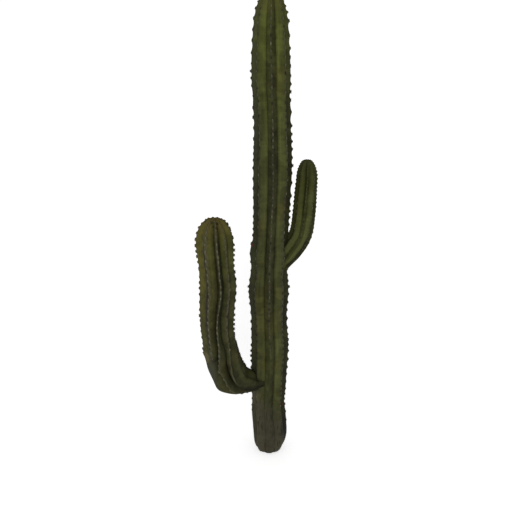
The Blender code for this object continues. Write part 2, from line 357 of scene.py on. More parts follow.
def spline(knots, x):
    """Smooth values at x through knots (x, value...), the same curve as the solids follow."""
    knots = np.asarray(knots, float)
    x = np.clip(np.asarray(x, float), knots[0, 0], knots[-1, 0])
    i = np.clip(np.searchsorted(knots[:, 0], x, side="right") - 1, 0, len(knots) - 2)
    left, right = knots[i], knots[i + 1]
    before, after = knots[np.maximum(i - 1, 0)], knots[np.minimum(i + 2, len(knots) - 1)]
    span = (right[:, :1] - left[:, :1])
    t = (x[:, None] - left[:, :1]) / span
    rise = (right[:, 1:] - before[:, 1:]) / (right[:, :1] - before[:, :1]) * span
    fall = (after[:, 1:] - left[:, 1:]) / (after[:, :1] - left[:, :1]) * span
    return ((2 * t**3 - 3 * t**2 + 1) * left[:, 1:] + (t**3 - 2 * t**2 + t) * rise
            + (3 * t**2 - 2 * t**3) * right[:, 1:] + (t**3 - t**2) * fall)


def dome(t, power):
    return np.maximum(0.0, 1.0 - t**power)**(1.0 / power)


def quarter():
    """0 to 1 in steps that shorten like the height of a dome."""
    return np.sin(np.linspace(0, math.pi / 2, DOME_STEPS))


def ease(x):
    x = np.clip(x, 0.0, 1.0)
    return x * x * (3 - 2 * x)


def below(run, low, high):
    """1 below low, 0 above high, with a smooth change between."""
    return ease((high - run) / (high - low))


def window(run, low, high, soft):
    """1 between low and high, 0 outside, with soft ends."""
    return ease((run - low) / soft) * ease((high - run) / soft)


def bell(x):
    return np.exp(-x**2)


def near(points, where, reach):
    """1 at a spot, fading out over its reach."""
    return bell(np.linalg.norm((points - np.array(where)) / reach, axis=1))


def unit(vectors):
    return vectors / np.linalg.norm(vectors, axis=1)[:, None]


def wrap(gap, ribs):
    """A gap counted in ribs, taken the short way round."""
    return (gap + ribs / 2) % ribs - ribs / 2


def limb(centre, side, lift, radius, groove, crests, seed, **more):
    """A limb resampled evenly along its outline, with all that its surface needs."""
    step = np.hypot(np.linalg.norm(np.diff(centre, axis=0), axis=1), np.diff(radius))
    run = np.concatenate([[0.0], np.cumsum(step)])
    even = np.linspace(0.0, run[-1], SAMPLES)

    def resample(values):
        values = values.reshape(len(run), -1)
        return np.stack([np.interp(even, run, column) for column in values.T], axis=1)

    rng = np.random.default_rng(seed)
    ribs = len(crests)
    made = SimpleNamespace(
        run=even, length=run[-1], centre=resample(centre), side=resample(side),
        lift=resample(lift), radius=resample(radius)[:, 0], groove=resample(groove)[:, 0],
        crests=np.radians(crests), ribs=ribs, seed=seed,
        sway_turn=rng.uniform(0, math.tau, (ribs, 2)),
        sway_rate=rng.uniform(1.6, 3.4, (ribs, 2)),
        stagger=rng.uniform(0, 1, ribs),
        stature=rng.uniform(-0.012, 0.012, ribs),
        floors=rng.uniform(0.44, 0.56, ribs),
        tones=rng.uniform(0.90, 1.08, ribs),
        darks=np.full(ribs, 0.40), paces=np.ones(ribs), bumps=np.ones(ribs),
        firsts=np.full(ribs, more["first"]), **{**PLAIN, **more})
    # toned puts painted light or shade in place of a rib's random tone
    for own, kept in ((made.skewed, made.floors), (made.toned, made.tones),
                      (made.dark, made.darks), (made.paced, made.paces),
                      (made.bumped, made.bumps), (made.bare, made.firsts)):
        for index, value in own.items():
            kept[index] = value
    crowd = made.crowding * ease(1.0 - (made.length - even) / TIP_ZONE)
    spacing = made.spacing * (1.0 - crowd)
    beats = np.diff(even) / (0.5 * (spacing[1:] + spacing[:-1]))
    made.count = np.concatenate([[0.0], np.cumsum(beats)])
    return made


def trunk_limb():
    under_dome = TRUNK_HEIGHT - TRUNK_DOME
    body = np.linspace(0.0, under_dome, TRUNK_STEPS, endpoint=False)
    z = np.concatenate([body, under_dome + TRUNK_DOME * quarter()])
    radius = TRUNK_BUTT_RADIUS + (TRUNK_TOP_RADIUS - TRUNK_BUTT_RADIUS) * z / TRUNK_HEIGHT
    for height, change, spread in TRUNK_SWELLS:
        radius = radius + change * bell((z - height) / spread)
    low = np.clip(1.0 - z / FOOT_HEIGHT, 0.0, 1.0)
    radius = radius + (FOOT_RADIUS - radius) * (1.0 - np.sqrt(1.0 - low**2))
    radius = radius * dome(np.clip((z - under_dome) / TRUNK_DOME, 0, 1), TRUNK_DOME_POWER)
    groove = FOOT_GROOVE + (TRUNK_GROOVE - FOOT_GROOVE) * ease(z / FOOT_FADE)
    centre = np.stack([spline(TRUNK_WANDER, z)[:, 0], np.zeros_like(z), z], axis=1)
    ones = np.ones_like(z)[:, None]
    return limb(centre, ones * (1.0, 0.0, 0.0), ones * (0.0, 1.0, 0.0), radius, groove,
                TRUNK_CRESTS, **TRUNK_TRAITS)


def arm_limb(stations, crests, azimuth, tip, depth, power, **more):
    azimuth = math.radians(azimuth)
    out = np.array([math.cos(azimuth), math.sin(azimuth), 0.0])
    length = np.concatenate([[0.0], np.cumsum([math.dist(a[:2], b[:2])
                                               for a, b in zip(stations, stations[1:])])])
    knots = [(run, *station) for run, station in zip(length, stations)]
    line = spline(knots, np.linspace(0, length[-1], ARM_STEPS))
    t = quarter()[1:]
    away, top, full = line[-1]
    cap = np.stack([np.full_like(t, away), top + (tip - top) * t, full * dome(t, power)], axis=1)
    line = np.concatenate([line, cap])
    centre = line[:, :1] * out + line[:, 1:2] * UP

    # the sections stand square to a smoothed course that ends upright
    course = np.gradient(line[:, :2], axis=0)
    course[1 - len(cap):] = (0.0, 1.0)
    course = unit(course)
    kernel = np.hanning(61) / np.hanning(61).sum()
    rim = len(kernel) // 2
    padded = np.pad(course, ((rim, rim), (0, 0)), mode="edge")
    course = unit(np.stack([np.convolve(column, kernel, "valid") for column in padded.T], axis=1))
    ahead = course[:, :1] * out + course[:, 1:] * UP
    side = np.cross(UP, out)[None, :] * np.ones((len(line), 1))
    lift = np.cross(ahead, side)
    return limb(centre, side, lift, line[:, 2], np.full(len(line), depth), crests, **more)


def limbs():
    """The trunk and both arms."""
    return (trunk_limb(), arm_limb(LARGE_ARM, LARGE_ARM_CRESTS, **LARGE_ARM_TRAITS),
            arm_limb(SMALL_ARM, SMALL_ARM_CRESTS, **SMALL_ARM_TRAITS))


def lattice(points, seed):
    """Smooth value noise in -1..1, the same each run."""
    rng = np.random.default_rng(seed)
    table = rng.uniform(-1, 1, 4096)
    cell = np.floor(points).astype(np.int64)
    t = points - cell
    t = t * t * (3 - 2 * t)
    total = 0.0
    for corner in np.ndindex(2, 2, 2):
        at = cell + np.array(corner)
        key = (at[:, 0] * 73856093 ^ at[:, 1] * 19349663 ^ at[:, 2] * 83492791) & 4095
        weight = np.prod(np.where(np.array(corner) == 1, t, 1 - t), axis=1)
        total = total + table[key] * weight
    return total


def along(body, run, key):
    values = getattr(body, key)
    if values.ndim == 1:
        return np.interp(run, body.run, values)
    return np.stack([np.interp(run, body.run, column) for column in values.T], axis=1)


def pace(body, run, rib):
    """Cushions counted along a rib: a whole number at each one, unevenly spaced."""
    turn, rate = body.sway_turn[rib], body.sway_rate[rib]
    drift = 0.30 * np.sin(run * rate[..., 0] * 2.4 + turn[..., 1])
    drift = drift + 0.13 * np.sin(run * 15.0 + turn[..., 0])
    return along(body, run, "count") * body.paces[rib] + body.stagger[rib] + drift


def within(run, low, high, factor):
    """factor below low, 1 above high, with a smooth change between."""
    return 1.0 + (factor - 1.0) * below(run, low, high)


def crest_angle(body, run, rib):
    """Angle of a crest, which sways a little as the rib climbs."""
    whole, index = np.divmod(rib.astype(int), body.ribs)
    turn, rate = body.sway_turn[index], body.sway_rate[index]
    sway = np.sin(run * rate[:, 0] * 2 + turn[:, 0])
    sway = sway + 0.6 * np.sin(run * rate[:, 1] * 4 + turn[:, 1])
    angle = body.crests[index] + whole * math.tau + body.sway * sway
    for turned, low, high, degrees in body.turns:
        chosen = np.isin(index, turned) if turned else True
        angle = angle + chosen * math.radians(degrees) * below(run, low, high)
    return angle


def rounded(depth, soft):
    """depth from 0 to 1, with its sharp end at 0 rounded off."""
    return (np.sqrt(depth**2 + soft**2) - soft) / (math.sqrt(1 + soft**2) - soft)


def section(body, run, rib):
    """Where points lie in a limb's section, as rib counts from crest to crest.

    Gives the angle, q (0 on a crest, 1 on the floor of a groove), the crest on the point's side of
    the groove, and the share of its depth that the groove keeps.
    """
    first = np.floor(rib)
    share = rib - first
    left = crest_angle(body, run, first)
    right = crest_angle(body, run, first + 1)
    angle = left + share * (right - left)
    number = first.astype(int) % body.ribs
    groove_at = body.floors[number]
    for chosen, low, high, place in body.leans:
        leaning = (number == chosen) * below(run, low, high)
        groove_at = groove_at + (place - groove_at) * leaning
    q = np.where(share < groove_at, share / groove_at, (1.0 - share) / (1.0 - groove_at))
    sink = np.ones(len(run))
    for chosen, low, high, factor in body.fades:
        sink = np.where(number == chosen, sink * within(run, low, high, factor), sink)
    index = np.where(share < groove_at, first, first + 1).astype(int) % body.ribs
    return angle, q, index, sink


def surface(body, run, rib, skin):
    """Points on the skin, and what the material needs there. Rib 2.5 is the third groove."""
    angle, q, index, sink = section(body, run, rib)
    deep = rounded(1.0 - rounded(1 - q, skin.groove_round), skin.crest_round)
    radius = along(body, run, "radius")
    stature = body.stature[index] * (1 - q)
    reach = radius * (1.0 - along(body, run, "groove") * (deep * sink) + stature
                      + 0.012 * np.sin(math.pi * q))

    # bumps under the cushions
    beat = np.cos(math.tau * pace(body, run, index))
    bump = (0.5 + 0.5 * beat)**1.5
    on = ease((run - body.firsts[index]) / body.fade) * ease(radius / 0.06)
    size = np.minimum(1.0, 0.35 + radius / 0.20)
    uneven = lattice(np.stack([run * 9.0, index * 7.7, index * 0.0], axis=1), body.seed + 4)
    uneven = np.clip(0.85 + 1.3 * uneven, 0.1, 1.8)
    height = skin.tubercle * body.tubercle * body.bumps[index] * size * on * uneven
    reach = reach + height * bell(q / 0.30) * (bump - 0.30)

    # lumps, wrinkles, bark and swellings
    centre, side, lift = (along(body, run, key) for key in ("centre", "side", "lift"))
    ray = np.cos(angle)[:, None] * side + np.sin(angle)[:, None] * lift
    rough = centre + ray * reach[:, None]
    lumps = lattice(rough * 4.5, body.seed) + 0.5 * lattice(rough * 11.0, body.seed + 1)
    folds = np.stack([np.cos(angle) * 1.3, np.sin(angle) * 1.3, run * 26.0], axis=1)
    fold = lattice(folds, body.seed + 2)
    small = ease(radius / 0.09)
    reach = reach + small * (skin.lumps * lumps * (0.4 + 0.6 * q)
                             + skin.wrinkles * fold * (0.3 + 0.7 * q))
    if body.foot:
        cork = ease(1.0 - run / BARK_TOP)
        bark = lattice(rough * np.array([34.0, 34.0, 9.0]), 71) + 0.6 * lattice(rough * 60.0, 72)
        reach = reach + BARK_RELIEF * cork * bark
    for where, spread, push in body.swellings:
        reach = reach + push * near(rough, where, spread)
    near_tip = body.length - run
    pressed = body.dip * bell(reach / 0.042) * (near_tip < 0.3)
    points = centre + ray * reach[:, None] - np.cross(side, lift) * pressed[:, None]

    # what colours the skin
    # stain round each cushion: partly dark old felt, partly painted shadow of its bump, heavier on ribs
    # with darker cushions
    areole = on * np.clip(bump, 0, 1)**1.2 * bell(q / 0.22)
    areole = areole * (0.35 + 0.65 * body.darks[index])
    # the rib's tone: random, with painted light and shade on chosen ribs (toned, shades, washes) and
    # painted shade at an arm's root (neck)
    tone = body.tones[index] * (1.0 - body.neck * ease(1.0 - run / NECK_LENGTH))
    for chosen, low, high, factor in body.shades:
        tone = np.where(index == chosen, tone * within(run, low, high, factor), tone)
    low, high, least = body.barked
    bearing = on * (least + (1.0 - least) * window(run, low, high, 0.5))
    # hollow: painted shade on the groove floors; tone: the rib tone with its painted light and shade;
    # strip: painted shade and highlight
    return points, dict(groove=q, hollow=q * np.minimum(sink, 1.0), areole=areole,
                        tip=ease(1 - near_tip / TIP_ZONE), bearing=bearing,
                        share=run / body.length, tone=tone * washes(body, run, rib),
                        strip=strips(body, run, rib, beat))


def washes(body, run, rib):
    """Painted light (above 1) and painted shade (below 1) in stretches that follow the ribs."""
    total = np.ones(len(run))
    for where, half, low, high, soft, factor in body.washes:
        mask = bell(wrap(rib - where, body.ribs) / half) * window(run, low, high, soft)
        total = total * (1.0 + (factor - 1.0) * mask)
    return total


def strips(body, run, rib, beat):
    """Painted shade in creases and under ribs (below 0), and pale ribbons of crest colour with painted
    highlight (above 0), that follow the ribs.
    """
    total = np.zeros(len(run))
    for where, half, low, high, value in body.strips:
        apart = wrap(rib - where - 0.03 * np.sin(run * 40.0), body.ribs)
        mask = bell(apart / half) * window(run, low, high, STRIP_END)
        # the painted shade in a crease is deeper between the bumps
        total = total + value * mask * (1.0 if value > 0 else 0.85 - 0.15 * beat)
    return np.clip(total, -1.0, 1.0)


# ------------------------ pieces

def settings():
    scene = bpy.context.scene
    return (scene.saguaro_skin, scene.saguaro_cushions, scene.saguaro_colours,
            scene.saguaro_studio)


def new_object(name, data):
    made = bpy.data.objects.new(name, data)
    bpy.context.scene.collection.objects.link(made)
    return made


def add_piece(name, mesh, material, nodes=()):
    mesh.materials.append(material)
    piece = new_object(name, mesh)
    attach(piece, "root")
    if nodes:
        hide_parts(*nodes)
    return piece


def skin_mesh(name, body, skin):
    """A grid wrapped round the limb, welded along its seam and at its tip, closed at its foot."""
    ribs, per_rib = body.ribs, body.per_rib
    bm = bmesh.new()
    bmesh.ops.create_grid(bm, x_segments=ribs * per_rib, y_segments=body.rows, size=0.5)
    mesh = bpy.data.meshes.new(name)
    bm.to_mesh(mesh)
    bm.free()
    flat = np.empty(3 * len(mesh.vertices))
    mesh.vertices.foreach_get("co", flat)
    flat = flat.reshape(-1, 3)
    rib = np.round((flat[:, 0] + 0.5) * ribs * per_rib) / per_rib
    run = (flat[:, 1] + 0.5) * body.length
    points, facts = surface(body, run, rib, skin)
    mesh.vertices.foreach_set("co", points.ravel())
    facts.update(marks(body, points, run))
    for key, values in facts.items():
        layer = mesh.attributes.new(key, "FLOAT", "POINT")
        layer.data.foreach_set("value", np.ascontiguousarray(values, dtype=np.float32))
    corner = np.empty(len(mesh.loops), dtype=np.int32)
    mesh.loops.foreach_get("vertex_index", corner)
    across = rib * (math.tau * 0.2 / ribs)
    chart = np.stack([across, run], axis=1)[corner]
    mesh.uv_layers.new(name="UVMap").data.foreach_set("uv", chart.ravel())
    bm = bmesh.new()
    bm.from_mesh(mesh)
    bmesh.ops.remove_doubles(bm, verts=bm.verts, dist=WELD)
    bmesh.ops.holes_fill(bm, edges=[e for e in bm.edges if e.is_boundary], sides=0)
    bmesh.ops.recalc_face_normals(bm, faces=bm.faces)
    bm.to_mesh(mesh)
    bm.free()
    mesh.shade_smooth()
    mesh.set_sharp_from_angle(angle=math.radians(75))
    return mesh


def marks(body, points, run):
    """How tinted towards one side, corky, scarred and waxy the skin is at each point, and how deep its
    painted shadow, 0 to 1.
    """
    found = {key: np.zeros(len(points)) for key in ("bleach", "cork", "scar", "dusk", "bloom")}
    outward = points - along(body, run, "centre")
    if body.bleach:
        towards, low, high, power = body.bleach
        ray = outward / (np.linalg.norm(outward, axis=1)[:, None] + 1e-9)
        facing = np.clip(ray @ np.array(towards), 0, 1)**power
        found["bleach"] = facing * ease((run - low) / (high - low))
    if body.foot:
        found["cork"] = ease((1.14 - 1.2 * outward[:, 0] - run) / 0.75)
    for where, reach in body.scars:
        found["scar"] = np.maximum(found["scar"], near(points, where, reach * SCAR_SHAPE))
    # dusk: painted shadow; bloom: a waxy spot
    for key in ("dusk", "bloom"):
        for where, reach, strength in getattr(body, key + "s"):
            found[key] = np.maximum(found[key], strength * near(points, where, reach))
    return found


def cushion_places(body, skin):
    """Position, axes (across, along, out), size, rib and darkness of every cushion."""
    runs, ribs = [], []
    for rib in range(body.ribs):
        passed = pace(body, body.run, rib)
        low = np.interp(body.firsts[rib] + 0.3 * body.fade, body.run, passed)
        beats = np.arange(math.ceil(low), math.floor(passed[-1] - 0.35) + 1)
        runs.append(np.interp(beats, passed, body.run))
        ribs.append(np.full(len(beats), float(rib)))
    run, rib = np.concatenate(runs), np.concatenate(ribs)

    def skin_at(climb, turn):
        return surface(body, run + climb, rib + turn, skin)[0]

    up = skin_at(0.012, 0.0) - skin_at(-0.012, 0.0)
    over = skin_at(0.0, 0.06) - skin_at(0.0, -0.06)
    up = unit(up)
    out = unit(np.cross(over, up))
    over = np.cross(up, out)
    rng = np.random.default_rng(body.seed + 3)
    width = np.interp(run, body.run, body.radius)
    room = np.gradient(body.run, body.count)
    size = np.minimum(1.0, 0.45 + width / 0.25) * np.interp(run, body.run, room) / CUSHION_ROOM
    size = np.clip(size, 0.38, 1.0) * rng.uniform(0.65, 1.15, len(run))
    size *= ease((run - body.firsts[rib.astype(int)]) / body.fade) * 0.5 + 0.5
    young = ease(1 - (body.length - run) / (0.5 * TIP_ZONE))
    chance = rng.uniform(0, 1, len(run))
    old = ease((body.aged - run) / 0.6)
    dark = chance < body.darks[rib.astype(int)] + 0.10 * young + 0.45 * old
    return dict(here=skin_at(0.0, 0.0), axes=np.stack([over, up, out], axis=2), size=size, rib=rib,
                chance=chance, dark=dark)


def cushion_templates(cushions, count, seed):
    """Felt cushions in a few uneven shapes, lying flat with +Z out."""
    rng = np.random.default_rng(seed)
    made = []
    for _ in range(count):
        bm = bmesh.new()
        bmesh.ops.create_uvsphere(bm, u_segments=9, v_segments=5, radius=1.0)
        for vert in bm.verts:
            pinch = 1.0 - 0.42 * vert.co.y**2
            vert.co.x *= pinch * cushions.width / 2
            vert.co.y *= cushions.length / 2
            vert.co.z *= CUSHION_HEIGHT
            vert.co *= 1.0 + rng.uniform(-0.12, 0.12)
        made.append(read_out(bm))
    return made


def spine_templates(cushions, count, seed):
    """Rosettes of spines: outer ones lying round the cushion, a few standing in the middle."""
    rng = np.random.default_rng(seed)
    outer, middle = cushions.radials, cushions.centrals
    # first and number of spines, rise in degrees, length, thickness, place across and along
    kinds = (
        (0, outer, (12, 34), (0.55, 0.95), 0.8, 0.34, 0.36),
        (outer, middle, (48, 80), (0.80, 1.20), 1.1, 0.12, 0.16),
    )
    made = []
    for _ in range(count):
        bm = bmesh.new()
        for first, number, rises, lengths, thickness, across, along_rib in kinds:
            for k in range(first, first + number):
                turn = math.tau * (k + rng.uniform(-0.3, 0.3)) / number
                rise = math.radians(rng.uniform(*rises))
                reach = cushions.spine * rng.uniform(*lengths)
                thick = cushions.thickness * thickness
                root = Vector((math.cos(turn) * cushions.width * across,
                               math.sin(turn) * cushions.length * along_rib, 0.002))
                aim = Vector((math.cos(turn) * math.cos(rise), math.sin(turn) * math.cos(rise),
                              math.sin(rise)))
                turned = aim.to_track_quat("Z", "Y").to_matrix().to_4x4()
                turned.translation = root + aim * reach / 2
                bmesh.ops.create_cone(bm, cap_ends=True, segments=4, radius1=thick / 2,
                                      radius2=thick * 0.06, depth=reach, matrix=turned)
        made.append(read_out(bm))
    return made


def read_out(bm):
    """Vertices and triangles of a bmesh as arrays."""
    bmesh.ops.recalc_face_normals(bm, faces=bm.faces)
    bmesh.ops.triangulate(bm, faces=bm.faces)
    bm.verts.ensure_lookup_table()
    points = np.array([v.co[:] for v in bm.verts])
    faces = np.array([[v.index for v in f.verts] for f in bm.faces])
    bm.free()
    return points, faces


def repeat(name, templates, places, pick, grow, seed):
    """One mesh with a template at each picked place, sized and turned to suit it."""
    rng = np.random.default_rng(seed)
    chosen = np.flatnonzero(pick)
    which = rng.integers(0, len(templates), len(chosen))
    points, faces, base = [], [], 0
    for index, (shape, triangles) in enumerate(templates):
        at = chosen[which == index]
        if not len(at):
            continue
        scale = (places["size"][at] * grow)[:, None, None]
        placed = np.einsum("mij,vj->mvi", places["axes"][at], shape) * scale
        placed += places["here"][at][:, None, :]
        points.append(placed.reshape(-1, 3))
        shift = base + np.arange(len(at)) * len(shape)
        faces.append((triangles[None] + shift[:, None, None]).reshape(-1, 3))
        base += len(at) * len(shape)
    mesh = bpy.data.meshes.new(name)
    mesh.from_pydata(np.concatenate(points).tolist(), [], np.concatenate(faces).tolist())
    return mesh


# ------------------------ materials

class Layout:
    """Short hand for laying nodes in a tree."""

    def __init__(self, tree):
        self.tree = tree

    def put(self, kind, inputs=None, **values):
        made = self.tree.nodes.new(kind)
        for key, value in values.items():
            setattr(made, key, value)
        self.fill(made, inputs or {})
        return made

    def fill(self, node, values):
        for key, value in values.items():
            self.feed(node.inputs[key], value)

    def feed(self, socket, value):
        if isinstance(value, bpy.types.NodeSocket):
            self.tree.links.new(value, socket)
        elif hasattr(socket.default_value, "__len__") and len(value) == 3 and len(
                socket.default_value) == 4:
            socket.default_value = (*value, 1.0)
        else:
            socket.default_value = value

    def reckon(self, operation, values, clamp=False):
        total = values[0]
        for value in values[1:]:
            total = self.put("ShaderNodeMath", {0: total, 1: value}, operation=operation,
                             use_clamp=clamp).outputs[0]
        return total

    def plus(self, *values):
        return self.reckon("ADD", values)

    def minus(self, *values, clamp=False):
        return self.reckon("SUBTRACT", values, clamp)

    def times(self, *values, clamp=False):
        return self.reckon("MULTIPLY", values, clamp)

    def mix(self, factor, a, b, blend="MIX"):
        made = self.put("ShaderNodeMix", {0: factor, 6: a, 7: b}, data_type="RGBA",
                        blend_type=blend)
        return made.outputs[2]

    def fade(self, value, low, high, to_low=0.0, to_high=1.0):
        made = self.put("ShaderNodeMapRange", {0: value, 1: low, 2: high, 3: to_low, 4: to_high},
                        interpolation_type="SMOOTHSTEP")
        return made.outputs[0]

    def noise(self, vector, scale, detail=3.0, rough=0.5):
        made = self.put("ShaderNodeTexNoise", {"Vector": vector, "Scale": scale,
                                               "Detail": detail, "Roughness": rough})
        return made.outputs[0]

    def stretch(self, vector, scale):
        return self.put("ShaderNodeMapping", {"Vector": vector, "Scale": scale}).outputs[0]

    def read(self, name):
        return self.put("ShaderNodeAttribute", attribute_name=name).outputs["Fac"]

    def spread(self, value, amount):
        """amount times the value's distance from its middle."""
        return self.times(self.minus(value, 0.5), amount)

    def body(self):
        return self.put("ShaderNodeTexCoord").outputs["Object"]

    def dim(self, colour, tone):
        """The colour made lighter or darker by the tone."""
        grey = self.put("ShaderNodeCombineColor", {0: tone, 1: tone, 2: tone}).outputs[0]
        return self.mix(1.0, colour, grey, "MULTIPLY")

    def worn(self, mask, patch, least, most, clamp=True):
        """A mask that comes and goes with the patches."""
        return self.times(mask, self.fade(patch, 0.3, 0.6, least, most), clamp=clamp)


def new_group(name, inputs, outputs):
    """An empty node group: inputs are colours or numbers as their defaults are."""
    group = bpy.data.node_groups.new(name, "ShaderNodeTree")
    for label, default in inputs.items():
        coloured = isinstance(default, tuple)
        socket = group.interface.new_socket(
            label, in_out="INPUT", socket_type="NodeSocketColor" if coloured else "NodeSocketFloat")
        socket.default_value = (*default, 1.0) if coloured else default
    for label in outputs:
        kind = "NodeSocketColor" if label == "Color" else "NodeSocketFloat"
        group.interface.new_socket(label, in_out="OUTPUT", socket_type=kind)
    lay = Layout(group)
    return group, lay, lay.put("NodeGroupInput").outputs, lay.put("NodeGroupOutput")


def living_skin():
    """Waxy cactus skin: blotches, streaks along the ribs, faint bands, stained crests, scars, and
    painted light and shade.
    """
    if "living skin" in bpy.data.node_groups:
        return bpy.data.node_groups["living skin"]
    group, lay, given, result = new_group("living skin", {
        "Young": (0.0994, 0.1136, 0.0284),
        "Old": (0.0710, 0.0710, 0.0284),
        "Crest": (0.0525, 0.0490, 0.0325),
        "Olive": (0.0500, 0.0455, 0.0120),
        "Weathered": (0.0303, 0.0302, 0.0144),
        "Tip": (0.1278, 0.1136, 0.0426),
        "Bleached": (0.1562, 0.1278, 0.0426),
        "Scab": (0.1278, 0.0710, 0.0426),
        "Shade": (0.0121, 0.0106, 0.0064),
        "Ribbon": (0.0655, 0.0615, 0.0315),
        "Bloom": (0.0400, 0.0425, 0.0270),
        "Hollow": 0.6,
        "Ridge": 0.8,
        "Patchy": 0.13,
    }, ("Color", "Roughness", "Height"))
    place = lay.put("ShaderNodeTexCoord")
    body, chart = place.outputs["Object"], place.outputs["UV"]
    blotch = lay.noise(body, 4.5, 4.0, 0.55)
    patch = lay.noise(body, 17.0, 4.0, 0.6)
    grain = lay.noise(body, 190.0, 3.0, 0.65)
    fine = lay.noise(body, 60.0, 3.0, 0.6)
    olive = lay.noise(body, 2.6, 3.0, 0.5)
    streak = lay.noise(lay.stretch(chart, (75.0, 4.0, 1.0)), 1.0, 4.0, 0.6)
    band = lay.noise(lay.stretch(chart, (3.0, 30.0, 1.0)), 1.0, 3.0, 0.6)
    block = lay.noise(lay.stretch(chart, (6.5, 5.0, 1.0)), 1.0, 2.0, 0.5)

    # the flesh, with the rib tone's painted light and shade, a cool grey painted shade on darker ribs
    # and painted shade in the groove floors
    age = lay.plus(lay.read("share"), lay.spread(blotch, 0.35))
    base = lay.mix(lay.fade(age, 0.58, 0.98), given["Old"], given["Young"])
    base = lay.mix(lay.fade(olive, 0.48, 0.66, 0.0, 0.5), base, given["Olive"])
    # painted shade: darker ribs turn towards a cool grey
    rib_tone = lay.read("tone")
    grey = lay.times(lay.fade(rib_tone, 0.95, 0.60), lay.fade(blotch, 0.34, 0.62, 0.15, 0.75))
    base = lay.mix(grey, base, given["Weathered"])
    tone = lay.plus(rib_tone, lay.spread(streak, 0.55), lay.spread(band, 0.60),
                    lay.spread(patch, 0.60), lay.spread(grain, 0.45))
    # painted shade: the groove floors darkened by Hollow
    hollow = lay.times(lay.fade(lay.read("hollow"), 0.80, 1.0), given["Hollow"])
    least, most = lay.minus(1.0, given["Patchy"]), lay.plus(1.0, given["Patchy"])
    tone = lay.times(tone, lay.minus(1.0, hollow), lay.fade(block, 0.44, 0.57, least, most))
    base = lay.dim(base, tone)

    # waxy spots, a tinted side, paler crests, the tip, pale ribbons with painted highlight, painted
    # shade in creases, stains with painted shadow, scars and painted shadow, each laid over the one
    # before
    ragged = lay.plus(lay.read("groove"), lay.spread(streak, 0.22), lay.spread(fine, 0.16))
    ridge = lay.worn(lay.fade(ragged, 0.26, 0.02), patch, 0.25, 1.0, clamp=False)
    strip = lay.read("strip")
    scab = lay.fade(lay.plus(lay.read("scar"), lay.spread(patch, 1.1)), 0.30, 0.85)
    for mask, colour in (
            (lay.worn(lay.read("bloom"), patch, 0.6, 1.1), given["Bloom"]),
            (lay.times(lay.read("bleach"), lay.fade(patch, 0.32, 0.66, 0.35, 1.0)), given["Bleached"]),
            (lay.times(ridge, lay.read("bearing"), given["Ridge"]), given["Crest"]),
            (lay.times(lay.read("tip"), lay.fade(patch, 0.3, 0.7, 0.45, 0.95)), given["Tip"]),
            # pale ribbons, crest colour with painted highlight, then dark strips of painted shade
            (lay.worn(strip, patch, 0.7, 1.1), given["Ribbon"]),
            (lay.worn(strip, patch, -1.2, -0.8), given["Shade"]),
            (lay.worn(lay.read("areole"), grain, 0.5, 0.9, clamp=False), STAIN_AND_SHADE),
            (scab, given["Scab"]),
            # painted shadow where dusk is set
            (lay.worn(lay.read("dusk"), patch, 0.8, 1.1), given["Shade"])):
        base = lay.mix(mask, base, colour)
    lay.fill(result, {
        "Color": base,
        "Roughness": lay.plus(0.74, lay.spread(patch, 0.2), lay.times(scab, 0.25)),
        "Height": lay.plus(lay.times(streak, 0.30), lay.times(band, 0.32),
                           lay.times(grain, 0.22), lay.times(scab, 0.30)),
    })
    return group


def foot_bark():
    """Grey-brown corky bark with upright fissures, darker under painted shadow, and the mask of where
    it has grown.
    """
    group, lay, given, result = new_group("foot bark", {
        "Cork": (0.0994, 0.0852, 0.0639),
        "Fissure": (0.0142, 0.0121, 0.0085),
    }, ("Color", "Mask", "Height"))
    body = lay.body()
    patch = lay.noise(body, 14.0, 5.0, 0.62)
    grain = lay.noise(body, 130.0, 3.0, 0.65)
    blot = lay.noise(body, 5.0, 3.0, 0.5)
    upright = lay.noise(lay.stretch(body, (46.0, 46.0, 7.0)), 1.0, 4.0, 0.62)
    crack = lay.fade(upright, 0.46, 0.34)
    # the bark follows the rib tone, with its painted light and shade
    tone = lay.plus(lay.fade(lay.read("tone"), 0.6, 1.2, 0.78, 1.14), lay.spread(patch, 0.9),
                    lay.spread(grain, 0.5))
    bark = lay.mix(lay.times(crack, 0.75), lay.dim(given["Cork"], tone), given["Fissure"])
    # painted shadow on the bark where dusk is set
    bark = lay.mix(lay.worn(lay.read("dusk"), patch, 0.7, 1.1), bark, given["Fissure"])
    edge = lay.plus(lay.read("cork"), lay.spread(patch, 0.9), lay.spread(blot, 1.0))
    bare = lay.minus(1.0, lay.read("scar"), clamp=True)
    height = lay.minus(lay.times(upright, 0.9), lay.times(crack, 0.4))
    lay.fill(result, {
        "Color": bark,
        "Mask": lay.times(lay.fade(edge, 0.20, 0.95), bare),
        "Height": lay.plus(height, lay.times(grain, 0.3)),
    })
    return group


def new_material(name):
    made = bpy.data.materials.new(name)
    made.use_nodes = True
    return made, Layout(made.node_tree), made.node_tree.nodes["Principled BSDF"]


def skin_material(name, young, old, cork=None, **more):
    """Living skin, with corky bark over it if cork has a colour."""
    made, lay, shader = new_material(name)
    skin = lay.put("ShaderNodeGroup", node_tree=living_skin())
    lay.fill(skin, dict(Young=tuple(young), Old=tuple(old), **more))
    colour, height = skin.outputs["Color"], skin.outputs["Height"]
    if cork is not None:
        bark = lay.put("ShaderNodeGroup", node_tree=foot_bark())
        lay.fill(bark, {"Cork": tuple(cork)})
        mask = bark.outputs["Mask"]
        colour = lay.mix(mask, colour, bark.outputs["Color"])
        height = lay.plus(height, lay.times(bark.outputs["Height"], mask))
    bump = lay.put("ShaderNodeBump", {"Height": height, "Strength": 0.55, "Distance": 0.006})
    lay.fill(shader, {"Base Color": colour, "Roughness": skin.outputs["Roughness"],
                      "Normal": bump.outputs[0], "Specular IOR Level": 0.06})
    return made


